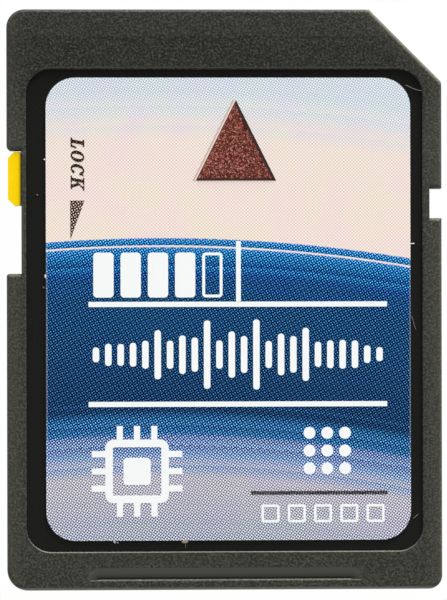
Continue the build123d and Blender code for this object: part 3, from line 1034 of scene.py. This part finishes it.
@dataclass
class Label:
    """The printed label: the process print on its paper, and the marks that stand on it as a thin coat."""

    print_finish: ProcessPrint = ProcessPrint()
    white: PlainInk = PlainInk("white_ink", "#EEF1F0")
    black: PlainInk = PlainInk("black_ink", "#100E0E")
    bare: PlainInk = PlainInk("bare_paper", "#E6CCC0")
    # Painted shade beside the embossed arrow, outside the bare strip
    shade: PlainInk = PlainInk("painted_shade_paper", "#B9A69D")
    word_ink: ScreenedInk = ScreenedInk("screened_word_ink", "#190F0A")
    wedge_ink: ScreenedInk = ScreenedInk(
        "screened_wedge_ink", "#361C11", DotScreens(contrast=13.0, limit=14.0)
    )
    sink: float = 0.004
    coat: float = 0.012
    rules: tuple[Row, ...] = (
        Row(Panel((0.725, -0.255), (16.47, 0.285)), 2, (0.0, -5.505)),
        Row(Panel((0.755, 1.55), (0.265, 3.36))),
    )
    gauge: tuple[Row, ...] = (
        Row(Panel((-6.68, 1.36), (1.12, 2.48), 0.2), 4, (1.5, 0.0)),
        Row(Panel((-0.68, 1.36), (1.12, 2.48), 0.2, 0.16)),
    )
    wave_left: float = -7.1
    wave_middle: float = -3.03
    wave_bars: int = 24
    wave_pitch: float = 0.68
    wave_width: float = 0.36
    wave_radius: float = 0.162
    wave_low: float = 0.7
    wave_high: float = 4.0
    wave_beat: Point = (0.55, 0.45)
    wave_turns: Point = (2.3, 0.7)
    chip_sign: tuple[Row, ...] = (
        Row(Panel((-4.85, -9.45), (3.5, 3.5), 0.45, 0.42)),
        Row(Panel((-4.85, -9.45), (1.5, 1.5), 0.2)),
        Row(Panel((-5.8, -11.575), (0.34, 0.75)), 3, (0.95, 0.0)),
        Row(Panel((-5.8, -7.325), (0.34, 0.75)), 3, (0.95, 0.0)),
        Row(Panel((-6.975, -10.4), (0.75, 0.34)), 3, (0.0, 0.95)),
        Row(Panel((-2.725, -10.4), (0.75, 0.34)), 3, (0.0, 0.95)),
    )
    grid_middle: Point = (5.64, -8.34)
    grid_pitch: float = 0.98
    grid_radius: float = 0.33
    grid_sides: int = 28
    tick_boxes: tuple[Row, ...] = (Row(Panel((2.5, -11.8), (1.0, 1.0), 0.12, 0.14), 5, (1.45, 0.0)),)
    tick_scale: tuple[Row, ...] = (Row(Panel((1.5, -10.66), (0.12, 0.2)), 52, (7.4 / 51, 0.0)),)
    arrow_apex: Point = (0.635, 11.0)
    arrow_base: float = 6.56
    arrow_width: float = 4.43
    arrow_height: float = 0.04
    arrow_slope: float = 0.13
    arrow_left_edge: tuple[float, str] = (0.09, "#4A2A22")
    arrow_base_edge: tuple[float, str] = (0.18, "#4A2A22")
    arrow_right_edge: tuple[float, str] = (0.2, "#2A1713")
    arrow_bare: Point = (0.0, 0.095)
    arrow_shade: Point = (0.095, 0.175)
    lock_top: Point = (-8.47, 8.95)
    lock_cap: float = 0.75
    lock_slant: float = 0.2
    lock_letters: tuple[Letter, ...] = (
        Letter(
            0.0,
            0.52,
            (
                ((0.18, 0.12), (0.54, 0.12), (0.54, 0.88), (0.18, 0.88)),
                ((0.0, 0.88), (0.74, 0.88), (0.74, 1.0), (0.0, 1.0)),
                ((0.0, 0.0), (0.98, 0.0), (1.08, 0.42), (0.9, 0.42), (0.78, 0.12), (0.0, 0.12)),
            ),
        ),
        Letter(0.66, 0.62, bowl=True),
        Letter(1.4, 0.6, (((0.78, 0.64), (0.96, 0.64), (1.0, 1.0), (0.84, 0.88)),), True, 76.0),
        Letter(
            2.1,
            0.7,
            (
                ((0.15, 0.1), (0.39, 0.1), (0.39, 0.9), (0.15, 0.9)),
                ((0.0, 0.9), (0.54, 0.9), (0.54, 1.0), (0.0, 1.0)),
                ((0.0, 0.0), (0.54, 0.0), (0.54, 0.1), (0.0, 0.1)),
                ((0.39, 0.36), (0.87, 0.9), (0.73, 0.9), (0.39, 0.5)),
                ((0.62, 0.9), (1.0, 0.9), (1.0, 1.0), (0.62, 1.0)),
                ((0.68, 0.1), (0.93, 0.1), (0.63, 0.63), (0.5, 0.484)),
                ((0.62, 0.0), (1.04, 0.0), (1.04, 0.1), (0.62, 0.1)),
            ),
        ),
    )
    wedge: tuple[Point, Point, Point] = ((-8.5, 5.47), (-8.49, 3.33), (-7.71, 5.47))

    @cached_property
    def level(self) -> float:
        """Gives the height of the marks' undersides, which are sunk a little in the paper."""
        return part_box("label")[1].z * PER_MM - self.sink

    def build(self) -> None:
        """Dresses the label and adds its marks."""
        dress(Slot.LABEL, self.print_finish.material())
        white = self.white.material()
        for name, shape, ink in (
            ("white_rules", self.mark(self.rules), white),
            ("level_gauge", self.mark(self.gauge), white),
            ("wave_bars", self.mark(self.waves()), white),
            ("chip_sign", self.mark(self.chip_sign), white),
            ("dot_grid", self.dot_grid(), white),
            ("tick_boxes", self.mark(self.tick_boxes), white),
            ("tick_scale", self.mark(self.tick_scale), self.black.material()),
            ("lock_word", self.lock_word(), self.word_ink.material()),
            ("lock_wedge", self.plate(self.wedge), self.wedge_ink.material()),
            ("arrow_bare_strip", self.side_strip(self.arrow_bare), self.bare.material()),
            # Painted shade of the embossed edge
            ("arrow_shade_strip", self.side_strip(self.arrow_shade), self.shade.material()),
            ("insert_arrow", self.insert_arrow(), GlitterFoil(self.arrow_edges()).material()),
        ):
            place_piece(shape, name, ink, Body.CARD)

    def mark(self, rows: Sequence[Row]) -> BMesh:
        """Makes a mark of rows of panels.

        Args:
            rows: The rows.

        Returns:
            The shape of the mark.
        """
        shape = bmesh.new()
        panels = [panel for row in rows for panel in row.panels()]
        faces = [face for panel in panels for face in panel.build(shape, self.level)]
        raise_faces(shape, faces, self.coat)
        return shape

    def plate(self, corners: Sequence[Point]) -> BMesh:
        """Makes a mark with one face.

        Args:
            corners: Corners of the face.

        Returns:
            The shape of the mark.
        """
        shape = bmesh.new()
        face = shape.faces.new([shape.verts.new((*corner, self.level)) for corner in corners])
        raise_faces(shape, [face], self.coat)
        return shape

    def waves(self) -> list[Row]:
        """Lays out the upright bars of a sound wave."""
        rows = []
        base, swing = self.wave_beat
        fast, slow = self.wave_turns
        for index in range(self.wave_bars):
            swell = math.sin(math.pi * (index + 0.5) / self.wave_bars)
            beat = base + swing * math.sin(index * fast) * math.cos(index * slow)
            height = self.wave_low + (self.wave_high - self.wave_low) * swell * beat
            centre = (self.wave_left + index * self.wave_pitch, self.wave_middle)
            rows.append(Row(Panel(centre, (self.wave_width, height), self.wave_radius)))
        return rows

    def dot_grid(self) -> BMesh:
        """Makes the grid of nine round dots."""
        shape = bmesh.new()
        across, along = self.grid_middle
        for row in (-self.grid_pitch, 0.0, self.grid_pitch):
            for column in (-self.grid_pitch, 0.0, self.grid_pitch):
                verts = bmesh.ops.create_circle(
                    shape, cap_ends=True, radius=self.grid_radius, segments=self.grid_sides
                )["verts"]
                bmesh.ops.translate(shape, vec=(across + column, along + row, self.level), verts=verts)
        raise_faces(shape, shape.faces, self.coat)
        return shape

    def lock_word(self) -> BMesh:
        """Makes the word beside the switch, which reads downwards."""
        shape = bmesh.new()
        slant = Matrix.Shear("XZ", 4, (self.lock_slant, 0.0))
        turn = Matrix.Rotation(-math.pi / 2, 4, "Z")
        move = Matrix.Translation((*self.lock_top, self.level))
        for letter in self.lock_letters:
            points = letter.build(shape)
            fit = Matrix.Diagonal((letter.width, self.lock_cap, 1.0, 1.0))
            along = Matrix.Translation((letter.start, 0.0, 0.0))
            bmesh.ops.transform(shape, matrix=move @ turn @ slant @ along @ fit, verts=points)
        raise_faces(shape, shape.faces, self.coat)
        return shape

    def arrow_edges(self) -> tuple[FoilEdge, ...]:
        """Gives the arrow's pressed edges."""
        apex = Vector((*self.arrow_apex, 0.0))
        rise = self.arrow_apex[1] - self.arrow_base
        right = Vector((rise, self.arrow_width / 2, 0.0)).normalized()
        left = Vector((-rise, self.arrow_width / 2, 0.0)).normalized()
        return (
            FoilEdge(tuple(left), left.dot(apex), *self.arrow_left_edge),
            FoilEdge((0.0, -1.0, 0.0), -self.arrow_base, *self.arrow_base_edge),
            FoilEdge(tuple(right), right.dot(apex), *self.arrow_right_edge),
        )

    def side_strip(self, span: Point) -> BMesh:
        """Makes a strip along the left edge of the arrow: bare paper where print and foil don't meet, or,
        further out, painted shade of the embossed edge.

        Args:
            span: Where the strip starts and ends, away from the edge.

        Returns:
            The shape of the strip.
        """
        across, front = self.arrow_apex
        left = across - self.arrow_width / 2
        near, far = span
        tops = [(across - near, front), (across - far, front)]
        return self.plate([*tops, (left - far, self.arrow_base), (left - near, self.arrow_base)])

    def insert_arrow(self) -> BMesh:
        """Makes the embossed triangle that points to the contact end."""
        across = self.arrow_apex[0]
        half = self.arrow_width / 2
        ends = [(across - half, self.arrow_base), (across + half, self.arrow_base)]
        shape = self.plate([self.arrow_apex, *ends])
        top = max(shape.faces, key=lambda each: each.calc_center_median().z)
        bmesh.ops.inset_region(
            shape,
            faces=[top],
            thickness=self.arrow_slope,
            depth=self.arrow_height,
            use_boundary=True,
            use_even_offset=True,
        )
        return shape


@dataclass
class Dust:
    """Lint and paper flecks that lie in the recess around the label."""

    grey: Lint = Lint("grey_lint", Tones("#6E6D69", "#4A4946"))
    white: Lint = Lint("paper_fluff", Tones("#E4E5E6", "#B9BCBF"))
    tan: Lint = Lint("tan_fluff", Tones("#C7AD98", "#9A8574"))
    brown: Lint = Lint("brown_fluff", Tones("#6E5838", "#4E3E28"))
    fibre_radius: float = 0.02
    fibres: tuple[tuple[Place, ...], ...] = (
        ((10.03, 11.82, 2.06), (10.31, 11.68, 2.03), (10.59, 11.57, 2.03), (10.88, 11.5, 2.06)),
        ((10.32, -0.93, 2.02), (10.42, -1.2, 1.98), (10.46, -1.42, 1.97), (10.55, -1.67, 1.98)),
        ((10.39, -12.1, 1.98), (10.53, -12.02, 2.0), (10.67, -11.87, 1.98)),
        ((-2.17, -13.35, 2.0), (-2.2, -13.5, 1.98), (-2.19, -13.67, 1.97)),
    )
    stub_radius: float = 0.028
    stub: tuple[Place, ...] = ((10.28, 3.07, 2.0), (10.38, 3.06, 2.01), (10.49, 3.08, 2.0))
    white_flecks: tuple[Fleck, ...] = (
        ((-9.9, 7.73, 2.0), (0.06, 0.05)),
        ((-9.86, 1.3, 2.03), (0.06, 0.11)),
        ((-6.09, -13.33, 2.0), (0.06, 0.07)),
        ((-5.93, -13.37, 1.98), (0.04, 0.04)),
    )
    tan_fleck: Fleck = ((-2.23, -13.34, 2.0), (0.17, 0.08))
    brown_fleck: Fleck = ((-9.97, 0.68, 1.98), (0.06, 0.05))
    grey_fleck: Fleck = ((-10.31, 5.78, 1.97), (0.045, 0.045))
    fleck_rise: float = 0.03
    fleck_bumps: float = 0.5
    fleck_waves: float = 1.5

    def build(self) -> None:
        """Adds the lint and the flecks."""
        grey = self.grey.material()
        white = self.white.material()
        fibres = [
            (f"lint_fibre_{index}", self.fibre(path, self.fibre_radius), grey)
            for index, path in enumerate(self.fibres, 1)
        ]
        for name, shape, material in (
            *fibres,
            ("paper_stub", self.fibre(self.stub, self.stub_radius), white),
            ("paper_flecks", self.flecks(self.white_flecks), white),
            ("tan_fleck", self.flecks([self.tan_fleck]), self.tan.material()),
            ("brown_fleck", self.flecks([self.brown_fleck]), self.brown.material()),
            ("grey_fleck", self.flecks([self.grey_fleck]), grey),
        ):
            place_piece(shape, name, material, Body.CARD)

    def fibre(self, path: Sequence[Place], radius: float) -> BMesh:
        """Makes a bent fibre.

        Args:
            path: Points that it follows.
            radius: Its radius.

        Returns:
            The shape of the fibre.
        """
        curve = bpy.data.curves.new("fibre", "CURVE")
        curve.dimensions = "3D"
        curve.bevel_depth = radius
        curve.bevel_resolution = 1
        curve.use_fill_caps = True
        spline = curve.splines.new("NURBS")
        spline.points.add(len(path) - 1)
        for point, place in zip(spline.points, path):
            point.co = (*place, 1.0)
        spline.order_u = 3
        spline.use_endpoint_u = True
        holder = bpy.data.objects.new("fibre", curve)
        mesh = bpy.data.meshes.new_from_object(holder)
        shape = bmesh.new()
        shape.from_mesh(mesh)
        bpy.data.objects.remove(holder)
        bpy.data.curves.remove(curve)
        bpy.data.meshes.remove(mesh)
        return shape

    def flecks(self, flecks: Sequence[Fleck]) -> BMesh:
        """Makes uneven flecks.

        Args:
            flecks: Places of the flecks and half their widths and lengths.

        Returns:
            The shape of all of them.
        """
        shape = bmesh.new()
        for place, size in flecks:
            verts = bmesh.ops.create_icosphere(shape, subdivisions=3, radius=1.0)["verts"]
            for vert in verts:
                swell = noise.noise(vert.co * self.fleck_waves + Vector(place))
                vert.co *= 1.0 + self.fleck_bumps * swell
            bmesh.ops.scale(shape, vec=(*size, self.fleck_rise), verts=verts)
            bmesh.ops.translate(shape, vec=place, verts=verts)
        return shape


@dataclass
class Studio:
    """Pale floor, soft light and the camera above the card."""

    picture: tuple[int, int] = (447, 600)
    pixels_per_mm: float = 18.15
    card_pixel: Point = (224.8, 299.6)
    face_level: float = 2.1
    lens: float = 200.0
    sensor: float = 36.0
    floor_size: float = 1.5
    floor_colour: str = "#FFFFFF"
    floor_glow: float = 0.985
    sky: float = 0.9
    sky_lean: float = 0.4
    zenith: float = 0.06
    zenith_tilt: float = 8.0
    zenith_start: float = 52.0
    zenith_end: float = 72.0
    key_heading: float = -20.0
    key_height: float = 12.0
    key_distance: float = 1.6
    key_size: float = 0.5
    key_power: float = 50.0
    camera_lean: float = -1.9
    camera_roll: float = -0.12

    def build(self) -> None:
        """Builds floor, light and camera."""
        self.build_floor()
        self.build_sky()
        self.build_key()
        self.build_camera()

    def build_floor(self) -> None:
        """Adds the floor, which looks white and keeps the card's shadow."""
        shape = bmesh.new()
        bmesh.ops.create_grid(shape, x_segments=1, y_segments=1, size=self.floor_size / 2)
        mesh = bpy.data.meshes.new("floor")
        shape.to_mesh(mesh)
        shape.free()
        material = bpy.data.materials.new("white_backdrop_paper")
        material.use_nodes = True
        tree = material.node_tree
        tree.nodes.remove(tree.nodes["Principled BSDF"])
        add = partial(add_node, tree)
        matt = add(Kind.DIFFUSE, {"Color": linear(self.floor_colour)})
        glow = add(Kind.EMISSION, {"Strength": 1.0})
        path = add(Kind.LIGHT_PATH).outputs
        direct = add(Kind.ADD, [path["Is Camera Ray"], path["Is Glossy Ray"]])
        seen = add(Kind.ADD, [direct, path["Is Transmission Ray"]], use_clamp=True)
        share = add(Kind.MULTIPLY, [seen, self.floor_glow])
        mixed = add(Kind.MIX_SHADER, [share, matt, glow])
        fill_inputs(tree, tree.nodes["Material Output"], {"Surface": mixed})
        mesh.materials.append(material)
        floor = bpy.data.objects.new("floor", mesh)
        bpy.context.scene.collection.objects.link(floor)

    def build_sky(self) -> None:
        """Lights the card from all sides, more from the contact end and less from above."""
        world = bpy.data.worlds.new("studio")
        world.use_nodes = True
        bpy.context.scene.world = world
        tree = world.node_tree
        add = partial(add_node, tree)
        direction = add(Kind.COORDINATES).outputs["Generated"]
        parts = add(Kind.SEPARATE, [direction]).outputs
        tilt = math.radians(self.zenith_tilt)
        rise = add(Kind.DOT, [direction, (0.0, math.sin(tilt), math.cos(tilt))])
        start, end = (math.sin(math.radians(angle)) for angle in (self.zenith_start, self.zenith_end))
        fall = Span(start, end, self.sky, self.zenith)
        height = add(Kind.MAP_RANGE, fall.over(rise), interpolation_type="SMOOTHSTEP")
        lean = add(Kind.MULTIPLY_ADD, [parts["Y"], self.sky_lean, 1.0])
        strength = add(Kind.MULTIPLY, [height, lean])
        fill_inputs(tree, tree.nodes["Background"], {"Color": (1.0,) * 4, "Strength": strength})

    def build_key(self) -> None:
        """Adds the soft key light, which comes low from the contact end."""
        light = bpy.data.lights.new("key", "AREA")
        light.energy = self.key_power
        light.size = self.key_size
        lamp = bpy.data.objects.new("key", light)
        turn = Euler((math.radians(90 - self.key_height), 0.0, math.radians(180 + self.key_heading)))
        lamp.location = turn.to_matrix() @ Vector((0.0, 0.0, self.key_distance))
        lamp.rotation_euler = turn
        bpy.context.scene.collection.objects.link(lamp)

    def build_camera(self) -> None:
        """Hangs the camera above the card, a little to the left, with the contact end up in the picture."""
        data = bpy.data.cameras.new("camera")
        data.lens = self.lens
        data.sensor_width = self.sensor
        camera = bpy.data.objects.new("camera", data)
        width, height = self.picture
        across = (width / 2 - self.card_pixel[0]) / self.pixels_per_mm
        along = (self.card_pixel[1] - height / 2) / self.pixels_per_mm
        distance = height / self.pixels_per_mm * self.lens / self.sensor
        target = Vector((across, along, self.face_level))
        lean = Matrix.Rotation(math.radians(self.camera_lean), 3, "Y")
        roll = Matrix.Rotation(math.radians(self.camera_roll), 3, "Z")
        turn = lean @ roll
        camera.location = (target + turn @ Vector((0.0, 0.0, distance))) * MM
        camera.rotation_euler = turn.to_euler()
        bpy.context.scene.collection.objects.link(camera)
        bpy.context.scene.camera = camera


def main() -> None:
    """Builds the card's looks and the studio."""
    logging.basicConfig(level=logging.INFO, format="%(message)s")
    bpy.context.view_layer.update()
    bpy.context.scene.view_settings.view_transform = "Standard"
    for assembly in (Housing(), WriteProtectSwitch(), Board(), Label(), Dust(), Studio()):
        assembly.build()


if __name__ == "__main__":
    main()
